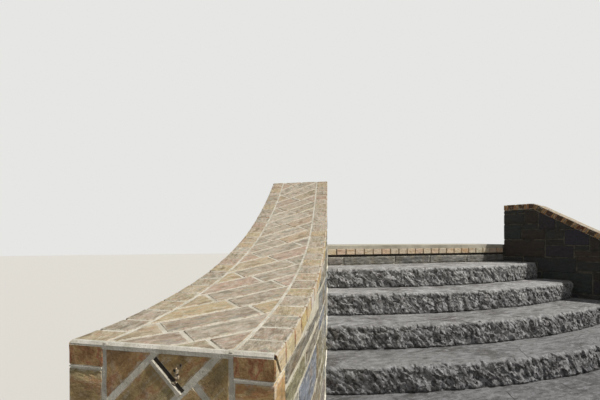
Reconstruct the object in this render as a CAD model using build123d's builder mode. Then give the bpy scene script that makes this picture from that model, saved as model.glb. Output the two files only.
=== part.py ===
from build123d import *
import os
from math import atan2, cos, degrees, hypot, radians, sin, tan

# Entrance steps: bow-fronted stone slabs between two flared walls with brick caps.
# Millimetres. +Z is up, +X runs across the flight to the right of someone who climbs
# it, and +Y is the way that they climb. The back line is where the flight meets the
# landing. The origin lies on the ground under the middle of the whole piece. Both walls
# are drawn on the right-hand side, and the left-hand one is then mirrored. They differ
# only in the right-hand cap, which stays level for its first stretch from the back line
# and then falls straight before it curves out.

# Flight of steps
step_count = 6
riser = 175
tread = 305
top_tread_depth = 490
bow_radius = 4400
slab_overlap = 70
nosing_radius = 14
foot_chamfer = 9
slab_end_joint = 0.3

# Landing
opening = 2260
landing_depth = 600
stone_band_height = 95
stone_band_depth = 120
brick_course_height = 66
brick_course_depth = 290
brick_course_setback = 6
landing_slab_height = 40
landing_slab_setback = 16

# Plan of a wall, from the back line outwards
wall_flare = 22.5
straight_run = 870
curve_radius = 15400
curve_angle = 6.4
wall_width = 540
veneer = 70
border = 105
end_depth = 100

# Sweep of the brick cap
wall_rise_at_back = 632
wall_end_height = 1055
cap_thickness = 64
upper_slope = 32.2
upper_reach = 700
lower_reach = 885
right_level_rise = 464
right_level_run = 300
right_slope = 31.6
right_straight_run = 560
right_reach = 450

# Heights
treads_top = step_count * riser
band_top = treads_top + stone_band_height
course_top = band_top + brick_course_height
landing_top = course_top + landing_slab_height
wall_top = landing_top + wall_rise_at_back
right_level = landing_top + right_level_rise

# Each cap's sweep: where its curve starts, as distance along the wall and height, then
# the slope and the reach of the curve there, and the height of its level stretch
left_sweep = ((0, wall_top), upper_slope, upper_reach, wall_top)
right_fall = right_straight_run * tan(radians(right_slope))
right_start = (right_level_run + right_straight_run, right_level - right_fall)
right_sweep = (right_start, right_slope, right_reach, right_level)

# Where the wall's inner face turns and ends, measured from the corner of the opening
end_heading = wall_flare + curve_angle
turn_x = straight_run * sin(radians(wall_flare))
turn_y = -straight_run * cos(radians(wall_flare))
end_x = turn_x + curve_radius * (cos(radians(wall_flare)) - cos(radians(end_heading)))
end_y = turn_y - curve_radius * (sin(radians(end_heading)) - sin(radians(wall_flare)))

# The wall reaches furthest forward at its inner end corner and the landing furthest
# back, so with the back line here the origin is in the middle
back_line = (-end_y - landing_depth) / 2
half_opening = opening / 2
bow_centre = (0, back_line - top_tread_depth + bow_radius)

# Centre of the wall's curve, which lies on its outer side
curve_x = half_opening + turn_x + curve_radius * cos(radians(wall_flare))
curve_y = back_line + turn_y + curve_radius * sin(radians(wall_flare))

# The end bricks take up this much of the curve
end_angle = degrees(end_depth / curve_radius)
end_block_heading = end_heading - end_angle

# Upright plane through the inner face's two ends, in which the cap's sweep is drawn
chord_heading = atan2(end_x, -end_y)
chord_length = hypot(end_x, end_y)
chord_plane = Plane(
    origin=(half_opening, back_line, 0),
    x_dir=(sin(chord_heading), -cos(chord_heading), 0),
    z_dir=(-cos(chord_heading), -sin(chord_heading), 0),
)


def on_curve(offset, heading):
    """Point at an offset outside the inner face, where the wall has turned to a heading."""
    reach = curve_radius - offset
    return (curve_x - reach * cos(radians(heading)), curve_y - reach * sin(radians(heading)))


def long_edge(offset, heading, square_end=True):
    """Draws a long edge of the wall's plan, from its back end to a heading on the curve. The
    back end is square to the wall, or else it lies along the back line."""
    if square_end:
        start = (half_opening + offset * cos(radians(wall_flare)),
                 back_line + offset * sin(radians(wall_flare)))
    else:
        start = (half_opening + offset / cos(radians(wall_flare)), back_line)
    turn = on_curve(offset, wall_flare)
    Line(start, turn)
    ThreePointArc(turn, on_curve(offset, (wall_flare + heading) / 2), on_curve(offset, heading))
    return start


def wall_strip(inside, outside, heading):
    """Plan of a strip of the wall between two offsets, from its back end to a heading."""
    with BuildSketch(mode=Mode.PRIVATE) as plan:
        with BuildLine():
            Line(long_edge(inside, heading), long_edge(outside, heading))
            Line(on_curve(inside, heading), on_curve(outside, heading))
        make_face()
    return plan.sketch


def end_block(inside, outside):
    """Plan of a block between two offsets at the outer end of the wall."""
    middle = (end_block_heading + end_heading) / 2
    with BuildSketch(mode=Mode.PRIVATE) as plan:
        with BuildLine():
            for offset in (inside, outside):
                ThreePointArc(on_curve(offset, end_block_heading), on_curve(offset, middle),
                              on_curve(offset, end_heading))
            for heading in (end_block_heading, end_heading):
                Line(on_curve(inside, heading), on_curve(outside, heading))
        make_face()
    return plan.sketch


def between_walls():
    """Plan of the ground between the two walls, less the joint at each."""
    with BuildSketch(mode=Mode.PRIVATE) as plan:
        with BuildLine():
            start = long_edge(-slab_end_joint, end_heading, square_end=False)
            finish = on_curve(-slab_end_joint, end_heading)
            mirror(about=Plane.YZ)
            Line(start, (-start[0], start[1]))
            Line(finish, (-finish[0], finish[1]))
        make_face()
    return plan.sketch


def below_sweep(drop, sweep):
    """Everything below the sweep of the cap's top and below its level stretch, lowered by a drop."""
    (along, height), slope, reach, highest = sweep
    margin = wall_width
    top = height - drop
    low = wall_end_height - drop
    fall = tan(radians(slope))
    with BuildPart(mode=Mode.PRIVATE) as body:
        with BuildSketch(chord_plane):
            with BuildLine():
                Line((-margin, -margin), (-margin, top + (along + margin) * fall))
                Line((-margin, top + (along + margin) * fall), (along, top))
                Bezier((along, top), (along + reach, top - reach * fall),
                       (chord_length - lower_reach, low), (chord_length, low))
                Line((chord_length, low), (chord_length + margin, low))
                Line((chord_length + margin, low), (chord_length + margin, -margin))
                Line((chord_length + margin, -margin), (-margin, -margin))
            make_face()
        extrude(amount=2 * wall_width, both=True)
        split(bisect_by=Plane.XY.offset(highest - drop), keep=Keep.BOTTOM)
    return body.part


def keep(part, name):
    """Names a finished piece and writes its file."""
    part.label = name
    export_step(part, f"parts/{name}.step")


os.makedirs("parts", exist_ok=True)

# Slabs, from the lowest up. Each reaches back under the slab above it
for number in range(1, step_count + 1):
    courses_above = step_count - number
    front_radius = bow_radius + courses_above * tread
    back_radius = front_radius - tread - slab_overlap
    underside = (number - 1) * riser
    with BuildPart() as slab:
        with BuildSketch(Plane.XY.offset(underside)):
            add(between_walls())
            with Locations(bow_centre):
                Circle(front_radius, mode=Mode.INTERSECT)
                if courses_above:
                    Circle(back_radius, mode=Mode.SUBTRACT)
        extrude(amount=riser)
        front = slab.faces().filter_by(GeomType.CYLINDER).sort_by(Axis.Y)[0]
        chamfer(front.edges().filter_by(GeomType.CIRCLE).sort_by(Axis.Z)[0], foot_chamfer)
        front = slab.faces().filter_by(GeomType.CYLINDER).sort_by(Axis.Y)[0]
        fillet(front.edges().filter_by(GeomType.CIRCLE).sort_by(Axis.Z)[-1], nosing_radius)
    keep(slab.part, f"step_{number}")

# Concrete under the slabs and behind them, one layer to each slab
with BuildPart() as step_core:
    for number in range(1, step_count):
        back_radius = bow_radius + (step_count - number - 1) * tread - slab_overlap
        with BuildSketch(Plane.XY.offset((number - 1) * riser)):
            add(between_walls())
            with Locations(bow_centre):
                Circle(back_radius, mode=Mode.INTERSECT)
        extrude(amount=riser)
keep(step_core.part, "step_core")


def across_landing(front_setback, depth):
    """Rectangle as wide as the opening, from a setback behind the back line."""
    middle = back_line + front_setback + depth / 2
    with BuildSketch(mode=Mode.PRIVATE) as plan:
        with Locations((0, middle)):
            Rectangle(opening - 2 * slab_end_joint, depth)
    return plan.sketch


# Concrete under the landing, cut back for the stone band and the bricks in front of it
with BuildPart() as landing_core:
    course_back = brick_course_setback + brick_course_depth
    levels = [
        (0, treads_top, 0),
        (treads_top, band_top, stone_band_depth),
        (band_top, course_top, course_back),
    ]
    for bottom, top, setback in levels:
        with BuildSketch(Plane.XY.offset(bottom)):
            add(across_landing(setback, landing_depth - setback))
        extrude(amount=top - bottom)
keep(landing_core.part, "landing_core")

# Thin stone course that makes up the last rise
with BuildPart() as stone_band:
    with BuildSketch(Plane.XY.offset(treads_top)):
        add(across_landing(0, stone_band_depth))
    extrude(amount=stone_band_height)
keep(stone_band.part, "landing_stone_band")

# Bricks laid across the edge of the landing
with BuildPart() as brick_course:
    with BuildSketch(Plane.XY.offset(band_top)):
        add(across_landing(brick_course_setback, brick_course_depth))
    extrude(amount=brick_course_height)
keep(brick_course.part, "landing_brick_course")

# Floor of the landing, with its front edge eased
with BuildPart() as landing_slab:
    with BuildSketch(Plane.XY.offset(course_top)):
        add(across_landing(landing_slab_setback, landing_depth - landing_slab_setback))
    extrude(amount=landing_slab_height)
    lip = landing_slab.faces().sort_by(Axis.Y)[0].edges().sort_by(Axis.Z)[-1]
    fillet(lip, nosing_radius / 2)
keep(landing_slab.part, "landing_slab")

# Pieces of a wall: name, plan, and how far below the cap's top each starts and stops
inner_joint = border
outer_joint = wall_width - border
wall_pieces = [
    ("wall_core", wall_strip(veneer, wall_width - veneer, end_block_heading), cap_thickness, None),
    ("inner_stone_face", wall_strip(0, veneer, end_block_heading), cap_thickness, None),
    ("outer_stone_face", wall_strip(wall_width - veneer, wall_width, end_block_heading),
     cap_thickness, None),
    ("cap_inner_border", wall_strip(0, inner_joint, end_heading), 0, cap_thickness),
    ("cap_field", wall_strip(inner_joint, outer_joint, end_block_heading), 0, cap_thickness),
    ("cap_outer_border", wall_strip(outer_joint, wall_width, end_heading), 0, cap_thickness),
    ("end_inner_pier", end_block(0, inner_joint), cap_thickness, None),
    ("end_panel", end_block(inner_joint, outer_joint), 0, None),
    ("end_outer_pier", end_block(outer_joint, wall_width), cap_thickness, None),
]


def wall_piece(plan, top_drop, bottom_drop, sweep):
    """Solid on a plan between two depths below the cap's top, or down to the ground."""
    with BuildPart(mode=Mode.PRIVATE) as piece:
        add(plan)
        extrude(amount=wall_top + wall_width)
        add(below_sweep(top_drop, sweep), mode=Mode.INTERSECT)
        if bottom_drop is not None:
            add(below_sweep(bottom_drop, sweep), mode=Mode.SUBTRACT)
    return piece.part


for name, plan, top_drop, bottom_drop in wall_pieces:
    keep(wall_piece(plan, top_drop, bottom_drop, right_sweep), f"right_{name}")
    with BuildPart() as left_piece:
        mirror(wall_piece(plan, top_drop, bottom_drop, left_sweep), about=Plane.YZ)
    keep(left_piece.part, f"left_{name}")
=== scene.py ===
"""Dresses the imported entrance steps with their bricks, stones, mortar and rock-faced slabs.

Metres, in the frame of the CAD model: +Z is up, +X runs across the flight to the right
of someone who climbs it and +Y is the way that they climb. The back line is where the
flight meets the landing. Everything on a wall is laid out for the right-hand side and
mirrored for the left-hand one.
"""
import contextlib
import math
import random

import bmesh
import bpy
import numpy as np
from bpy.props import FloatProperty, FloatVectorProperty, IntProperty, PointerProperty
from mathutils import Matrix, Vector


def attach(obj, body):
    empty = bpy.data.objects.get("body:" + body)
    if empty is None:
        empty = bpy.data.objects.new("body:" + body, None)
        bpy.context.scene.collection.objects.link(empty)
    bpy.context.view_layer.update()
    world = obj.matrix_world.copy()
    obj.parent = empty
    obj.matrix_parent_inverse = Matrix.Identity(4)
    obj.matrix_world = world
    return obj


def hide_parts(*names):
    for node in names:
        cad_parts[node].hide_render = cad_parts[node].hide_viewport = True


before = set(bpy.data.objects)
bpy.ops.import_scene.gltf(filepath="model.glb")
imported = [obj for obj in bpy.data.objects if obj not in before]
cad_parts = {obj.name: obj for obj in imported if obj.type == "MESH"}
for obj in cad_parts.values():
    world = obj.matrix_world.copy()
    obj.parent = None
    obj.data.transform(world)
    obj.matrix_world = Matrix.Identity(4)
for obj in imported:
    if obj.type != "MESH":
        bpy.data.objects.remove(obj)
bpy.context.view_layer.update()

bl_info = {
    "name": "Entrance steps masonry",
    "version": (1, 0, 0),
    "blender": (4, 5, 0),
    "location": "View3D > Sidebar > Steps",
    "description": "Lays the bricks, stones, mortar and slabs of bow-fronted entrance steps",
    "category": "Add Mesh",
}

# Plan of a wall, the same values as in the part's source, in metres
HALF_OPENING = 1.130
FLARE = math.radians(22.5)
STRAIGHT_RUN = 0.870
CURVE_RADIUS = 15.4
CURVE_ANGLE = math.radians(6.4)
WALL_WIDTH = 0.540
BORDER = 0.105
VENEER = 0.070
END_DEPTH = 0.100
CAP_THICKNESS = 0.064
LANDING_DEPTH = 0.600
END_HEADING = FLARE + CURVE_ANGLE
WALL_LENGTH = STRAIGHT_RUN + CURVE_RADIUS * CURVE_ANGLE
TURN_X = STRAIGHT_RUN * math.sin(FLARE)
TURN_Y = -STRAIGHT_RUN * math.cos(FLARE)
END_X = TURN_X + CURVE_RADIUS * (math.cos(FLARE) - math.cos(END_HEADING))
END_Y = TURN_Y - CURVE_RADIUS * (math.sin(END_HEADING) - math.sin(FLARE))
BACK_LINE = (-END_Y - LANDING_DEPTH) / 2
CURVE_X = HALF_OPENING + TURN_X + CURVE_RADIUS * math.cos(FLARE)
CURVE_Y = BACK_LINE + TURN_Y + CURVE_RADIUS * math.sin(FLARE)
CHORD_HEADING = math.atan2(END_X, -END_Y)
CHORD = math.hypot(END_X, END_Y)

# Heights
RISER = 0.175
STEPS = 6
TREADS_TOP = STEPS * RISER
BAND_HEIGHT = 0.095
COURSE_HEIGHT = 0.066
LANDING_SLAB_HEIGHT = 0.040
WALL_RISE_AT_BACK = 0.632
RIGHT_LEVEL_RISE = 0.464
BAND_TOP = TREADS_TOP + BAND_HEIGHT
COURSE_TOP = BAND_TOP + COURSE_HEIGHT
LANDING_TOP = COURSE_TOP + LANDING_SLAB_HEIGHT
WALL_TOP = LANDING_TOP + WALL_RISE_AT_BACK
WALL_END_TOP = 1.055
RIGHT_LEVEL = LANDING_TOP + RIGHT_LEVEL_RISE
RIGHT_LEVEL_RUN = 0.300
RIGHT_STRAIGHT_RUN = 0.560
RIGHT_FALL = math.tan(math.radians(31.6))
LEFT_FALL = math.tan(math.radians(32.2))
LOWER_REACH = 0.885
# Sweeps of the caps: where the curve starts along the chord, its height, slope and reach
SWEEPS = {
    "left": (0.0, WALL_TOP, LEFT_FALL, 0.700),
    "right": (RIGHT_LEVEL_RUN + RIGHT_STRAIGHT_RUN, RIGHT_LEVEL - RIGHT_STRAIGHT_RUN * RIGHT_FALL,
              RIGHT_FALL, 0.450),
}

# Flight
TREAD = 0.305
TOP_TREAD = 0.490
BOW_RADIUS = 4.400
SLAB_OVERLAP = 0.070
BOW_Y = BACK_LINE - TOP_TREAD + BOW_RADIUS

# Diagonal bricks: along a cap, the first joint's distance from the end plus its offset, and
# the offset at which the joints across the courses lie
FIELD_START = 0.281
FIELD_MIDDLE = 0.268

# A brick's eased arris, and the cells that it is cut up into for its relief
BRICK_ARRIS = 0.0035
HEADER_CELL = 0.050
FIELD_CELL = 0.052
# How much less deep than its body a brick is, for the mortar behind it
BEHIND_BRICK = 0.004
# How far behind the back line bricks and mortar are laid before they are cut off there
BRICKS_BEHIND = 0.35
MORTAR_BEHIND = 0.3
# A cut of a face's flat layout that keeps what stands above the ground
ABOVE_GROUND = [((0, 0.0005, 0), (0, -1, 0))]


def sweep_table(start, height, fall, reach):
    """Height of a cap's top against the distance along the chord, as two arrays."""
    ends = np.array([(start, height), (start + reach, height - reach * fall),
                     (CHORD - LOWER_REACH, WALL_END_TOP), (CHORD, WALL_END_TOP)])
    t = np.linspace(0, 1, 600)[:, None]
    curve = ((1 - t) ** 3 * ends[0] + 3 * (1 - t) ** 2 * t * ends[1]
             + 3 * (1 - t) * t ** 2 * ends[2] + t ** 3 * ends[3])
    before = np.array([(-WALL_WIDTH, height + (start + WALL_WIDTH) * fall)])
    after = np.array([(CHORD + WALL_WIDTH, WALL_END_TOP)])
    return np.concatenate([before, curve, after]).T


SWEEP_TABLES = {side: sweep_table(*sweep) for side, sweep in SWEEPS.items()}


def heading_at(s):
    """Direction in which a wall runs, at a distance from the back line."""
    return FLARE + np.maximum(s - STRAIGHT_RUN, 0) / CURVE_RADIUS


def plan_point(s, offset):
    """Plan position on the right-hand wall: distance from the back line, offset outwards."""
    turn = heading_at(s)
    on_straight = s <= STRAIGHT_RUN
    reach = CURVE_RADIUS - offset
    x = np.where(on_straight, HALF_OPENING + s * math.sin(FLARE) + offset * math.cos(FLARE),
                 CURVE_X - reach * np.cos(turn))
    y = np.where(on_straight, BACK_LINE - s * math.cos(FLARE) + offset * math.sin(FLARE),
                 CURVE_Y - reach * np.sin(turn))
    return x, y


def cap_top(x, y, side):
    """Height of the cap's top over a plan position."""
    along = ((x - HALF_OPENING) * math.sin(CHORD_HEADING)
             - (y - BACK_LINE) * math.cos(CHORD_HEADING))
    z = np.interp(along, *SWEEP_TABLES[side])
    return np.minimum(z, RIGHT_LEVEL) if side == "right" else z


def slope_table(side):
    """Distance from the wall's end measured up the cap, against distance from the back line."""
    s = np.linspace(WALL_LENGTH, -0.35, 700)
    x, y = plan_point(s, np.full_like(s, WALL_WIDTH / 2))
    z = cap_top(x, y, side)
    step = np.sqrt(np.diff(x) ** 2 + np.diff(y) ** 2 + np.diff(z) ** 2)
    return np.concatenate([[0], np.cumsum(step)]), s


SLOPES = {side: slope_table(side) for side in ("left", "right")}


def cap_length(side):
    """Length of the cap up its slope, to the back line at its far corner."""
    up, s = SLOPES[side]
    return float(np.interp(0.0, s[::-1], up[::-1]))


def on_cap(co, side):
    """Flat layout to cap: x up the slope from the wall's end, y outwards, z above the top."""
    up, s_of = SLOPES[side]
    s = np.interp(co[:, 0], up, s_of)
    offset = co[:, 1]
    x, y = plan_point(s, offset)
    z = cap_top(x, y, side)
    reach = 0.02
    ahead = cap_top(*plan_point(s + reach, offset), side)
    behind = cap_top(*plan_point(s - reach, offset), side)
    rate = (ahead - behind) / (2 * reach)
    turn = heading_at(s)
    size = np.sqrt(1 + rate ** 2)
    lift = co[:, 2] / size
    return np.stack([x - rate * np.sin(turn) * lift, y + rate * np.cos(turn) * lift, z + lift], 1)


def on_end(co, side):
    """Flat layout to the wall's end: x outwards, y up, z out of the face."""
    x, y = plan_point(WALL_LENGTH + co[:, 2], co[:, 0])
    return np.stack([x, y, co[:, 1]], 1)


def on_inner_face(co, side):
    """Flat layout to the inner face: x from the back line, y up, z out of the face."""
    x, y = plan_point(co[:, 0], -co[:, 2])
    return np.stack([x, y, co[:, 1]], 1)


def on_outer_face(co, side):
    """Flat layout to the outer face: x from the back line, y up, z out of the face."""
    x, y = plan_point(co[:, 0], WALL_WIDTH + co[:, 2])
    return np.stack([x, y, co[:, 1]], 1)


# Meshes

def take(*objects):
    """Selects just these objects, the first of them active."""
    bpy.ops.object.select_all(action="DESELECT")
    for one in objects:
        one.select_set(True)
    bpy.context.view_layer.objects.active = objects[0]


def corners(obj):
    """The vertices of a mesh as an array."""
    co = np.empty(len(obj.data.vertices) * 3)
    obj.data.vertices.foreach_get("co", co)
    return co.reshape(-1, 3)


def set_corners(obj, co):
    """Puts an array back as the vertices of a mesh."""
    obj.data.vertices.foreach_set("co", np.ascontiguousarray(co, float).ravel())
    obj.data.update()


@contextlib.contextmanager
def edited(obj):
    """Edit mode on one mesh with all of it selected, and nothing selected afterwards."""
    take(obj)
    bpy.ops.object.mode_set(mode="EDIT")
    bpy.ops.mesh.select_all(action="SELECT")
    yield
    bpy.ops.mesh.select_all(action="DESELECT")
    bpy.ops.object.mode_set(mode="OBJECT")


def cut(obj, planes, fill=False):
    """Cuts a mesh through by planes given as (point, normal). With fill, what lies on the
    side that the normal points to is taken away and the cut is closed."""
    with edited(obj):
        for point, normal in planes:
            bpy.ops.mesh.select_all(action="SELECT")
            bpy.ops.mesh.bisect(plane_co=point, plane_no=normal, use_fill=fill, clear_outer=fill)


def cube(name, middle=0.0):
    """A cube of 1 m. Its middle lies at the origin, or that far along all three axes."""
    bpy.ops.object.select_all(action="DESELECT")
    bpy.ops.mesh.primitive_cube_add(size=1, location=(middle, middle, middle))
    made = bpy.context.object
    made.name = made.data.name = name
    bpy.ops.object.transform_apply()
    return made


def blank(name, size, arris, cell):
    """A brick or stone to be copied: a block with eased arrises, cut up fine enough to take
    relief, with a cut through its middle each way."""
    made = cube(name)
    made.scale = size
    bpy.ops.object.transform_apply(location=False, rotation=False, scale=True)
    with edited(made):
        bpy.ops.mesh.bevel(offset=arris, segments=1, affect="EDGES")
    planes = []
    for axis in range(3):
        count = 2 * max(1, round(size[axis] / cell / 2))
        normal = [0.0, 0.0, 0.0]
        normal[axis] = 1.0
        for number in range(1, count):
            point = [0.0, 0.0, 0.0]
            point[axis] = size[axis] * (number / count - 0.5)
            planes.append((tuple(point), tuple(normal)))
    cut(made, planes)
    return made


def lean(rng, place, **limits):
    """A place with a small random turn about each axis that is named, up to its limit in
    radians."""
    made = place
    for axis, limit in limits.items():
        made = made @ Matrix.Rotation(rng.uniform(-limit, limit), 4, axis)
    return made


def lay(name, blanks, places, rng):
    """Copies of blanks put at their places and joined. A place is (blank's name, matrix,
    tint). Each copy carries as attributes its tint, its own grain and its rim, which is how
    far a point lies inside the copy's sides."""
    laid = []
    for key, matrix, tint in places:
        source = blanks[key]
        mesh = source.data.copy()
        own = corners(source)
        rim = np.abs(own).max(axis=0) - np.abs(own)
        grain = own + np.array([rng.uniform(-9, 9) for _ in range(3)])
        mesh.transform(matrix)
        for kept, values in (("grain", grain), ("rim", rim)):
            carried = mesh.attributes.new(kept, "FLOAT_VECTOR", "POINT")
            carried.data.foreach_set("vector", values.ravel())
        carried = mesh.attributes.new("tint", "FLOAT", "POINT")
        carried.data.foreach_set("value", np.full(len(mesh.vertices), tint))
        piece = bpy.data.objects.new(name, mesh)
        bpy.context.scene.collection.objects.link(piece)
        laid.append(piece)
    return joined(name, laid)


def drop(blanks):
    """Takes the blanks away once they are laid."""
    for one in blanks.values():
        bpy.data.objects.remove(one)


def roughen(obj, kind, grit, depth, middle=0.5):
    """Relief from a solid texture: grit is its size and depth its height, both in metres."""
    take(obj)
    texture = bpy.data.textures.new(obj.name + "_relief", type=kind)
    texture.noise_scale = grit
    if kind == "CLOUDS":
        texture.noise_depth = 2
    modifier = obj.modifiers.new("relief", "DISPLACE")
    modifier.texture = texture
    modifier.strength = depth
    modifier.mid_level = middle
    modifier.texture_coords = "LOCAL"
    bpy.ops.object.modifier_apply(modifier=modifier.name)


def settle(obj, place, side, back=0.0):
    """Moves a flat layout to its place on a wall and closes it off at the wall's back end,
    or at a distance behind that."""
    co = place(corners(obj), side)
    way = -1 if side == "left" else 1
    co[:, 0] *= way
    set_corners(obj, co)
    square = np.array((-way * math.sin(FLARE), math.cos(FLARE), 0.0))
    point = np.array((way * HALF_OPENING, BACK_LINE, 0.0)) + back * square
    if ((co - point) @ square).max() > 0:
        cut(obj, [(tuple(point), tuple(square))], fill=True)
    face_out(obj)


def joined(name, pieces):
    """Pieces made one, under a name."""
    take(*pieces)
    if len(pieces) > 1:
        bpy.ops.object.join()
    made = bpy.context.object
    made.name = made.data.name = name
    return made


def face_out(obj):
    """Turns every face outwards and smooths what is not a sharp arris."""
    with edited(obj):
        bpy.ops.mesh.normals_make_consistent(inside=False)
    bpy.ops.object.shade_smooth_by_angle(angle=math.radians(38))


def finish_piece(obj, finish, slot="", *nodes):
    """Gives a piece its finish and its body, and hides the nodes that it stands for."""
    obj.data.materials.clear()
    obj.data.materials.append(Masonry.get(finish))
    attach(obj, "root")
    if nodes:
        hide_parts(*nodes)


def bed(name, side, along, across, bottom, top, place, divisions, trims=()):
    """Mortar body in a wall: a block cut into divisions along the wall and bent to it.
    bottom and top are heights, or are measured below the cap's top when place is on_cap.
    trims are planes of the flat layout beyond which nothing is kept."""
    made = cube(name, 0.5)
    cut(made, [((n / divisions, 0, 0), (1, 0, 0)) for n in range(1, divisions)])
    co = corners(made)
    for axis, (low, high) in enumerate((along, across, (bottom, top))):
        co[:, axis] = low + co[:, axis] * (high - low)
    set_corners(made, co)
    if trims:
        cut(made, trims, fill=True)
    settle(made, place, side, -0.003)
    return made


# Finishes

def linear(code):
    """An sRGB hex colour as linear RGBA."""
    values = [int(code[n:n + 2], 16) / 255 for n in (1, 3, 5)]
    return tuple(v / 12.92 if v <= 0.04045 else ((v + 0.055) / 1.055) ** 2.4
                 for v in values) + (1.0,)


def node(tree, kind, inputs=None, out=0, stops=(), **settings):
    """Adds a shader node with its settings and links, and returns one of its outputs. An
    input is a number, a vector, a hex colour or another node's output. Stops are those of
    a ramp."""
    made = tree.nodes.new("ShaderNode" + kind)
    for name, value in settings.items():
        setattr(made, name, value)
    for name, value in (inputs or {}).items():
        if isinstance(value, bpy.types.NodeSocket):
            tree.links.new(value, made.inputs[name])
        else:
            made.inputs[name].default_value = linear(value) if isinstance(value, str) else value
    if stops:
        elements = made.color_ramp.elements
        elements[0].position, elements[1].position = stops[0][0], stops[-1][0]
        for place, _ in stops[1:-1]:
            elements.new(place)
        for element, (_, code) in zip(elements, stops):
            element.color = linear(code)
    return made.outputs[out]


def material(name):
    """An empty material with its shader, as (material, tree, shader)."""
    made = bpy.data.materials.new(name)
    made.use_nodes = True
    tree = made.node_tree
    tree.nodes.clear()
    surface = node(tree, "BsdfPrincipled")
    tree.links.new(surface, tree.nodes.new("ShaderNodeOutputMaterial").inputs["Surface"])
    return made, tree, surface.node


def finished(made, shader, base, roughness, *bumps):
    """Links a colour, and bumps of (height, depth in millimetres) one on another, into a
    material's shader, and returns the material."""
    tree = made.node_tree
    tree.links.new(base, shader.inputs["Base Color"])
    shader.inputs["Roughness"].default_value = roughness
    normal = None
    for height, millimetres in bumps:
        inputs = {"Height": height, "Distance": millimetres / 1000}
        if normal is not None:
            inputs["Normal"] = normal
        normal = node(tree, "Bump", inputs)
    if normal is not None:
        tree.links.new(normal, shader.inputs["Normal"])
    return made


def coats(tree, base, *layers):
    """Lays colours over the base. In a layer of (height, low, high, share, colour), the
    colour comes in as the height runs from low to high, share of it at most."""
    for height, low, high, share, colour in layers:
        cover = node(tree, "MapRange",
                     {"Value": height, "From Min": low, "From Max": high, "To Max": share})
        base = node(tree, "Mix", {0: cover, 6: base, 7: colour}, 2, data_type="RGBA")
    return base


def cloud(tree, vector, size, detail=5.0, rough=0.62):
    """Height of a cloudy pattern on a vector that is stretched by a size in metres, either
    one for all ways or one for each."""
    sizes = (size, size, size) if isinstance(size, float) else size
    placed = node(tree, "Mapping", {"Vector": vector, "Scale": tuple(1 / n for n in sizes)})
    return node(tree, "TexNoise",
                {"Vector": placed, "Scale": 1.0, "Detail": detail, "Roughness": rough})


def from_arris(tree):
    """Distance across the face of a brick or stone to its nearest arris, in metres."""
    rim = node(tree, "Attribute", out=1, attribute_name="rim")
    x, y, z = node(tree, "SeparateXYZ", {"Vector": rim}).node.outputs
    least = node(tree, "Math", {0: x, 1: y}, operation="MINIMUM")
    most = node(tree, "Math", {0: x, 1: y}, operation="MAXIMUM")
    most = node(tree, "Math", {0: most, 1: z}, operation="MINIMUM")
    return node(tree, "Math", {0: least, 1: most}, operation="MAXIMUM")


def run_over(tree, ragged, reach):
    """1 at the arrises of a brick or stone, fading to 0 at a ragged line inside them, about
    a reach in metres away. Ragged is a height that moves the line."""
    moved = node(tree, "Math", {0: ragged, 1: -reach * 6.0, 2: reach * 3.0},
                 operation="MULTIPLY_ADD")
    moved = node(tree, "Math", {0: from_arris(tree), 1: moved}, operation="ADD")
    return node(tree, "MapRange",
                {"Value": moved, "From Min": reach * 1.25, "From Max": reach * 0.75})


def on_header_end(tree, normal, facing):
    """1 on the end of a header that shows in a wall's end, and 0 elsewhere. Facing is 1
    where a face looks up."""
    rim = node(tree, "Attribute", out=1, attribute_name="rim")
    along = node(tree, "SeparateXYZ", {"Vector": rim})
    at_end = node(tree, "MapRange", {"Value": along, "From Min": 0.0180, "From Max": 0.0165})
    upright = node(tree, "Math", {0: 1.0, 1: facing}, operation="SUBTRACT")
    at_end = node(tree, "Math", {0: at_end, 1: upright}, operation="MULTIPLY")
    away = node(tree, "SeparateXYZ", {"Vector": normal}, 0)
    turned = node(tree, "MapRange", {"Value": away, "From Min": 0.55, "From Max": 0.35})
    return node(tree, "Math", {0: at_end, 1: turned}, operation="MULTIPLY")


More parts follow.
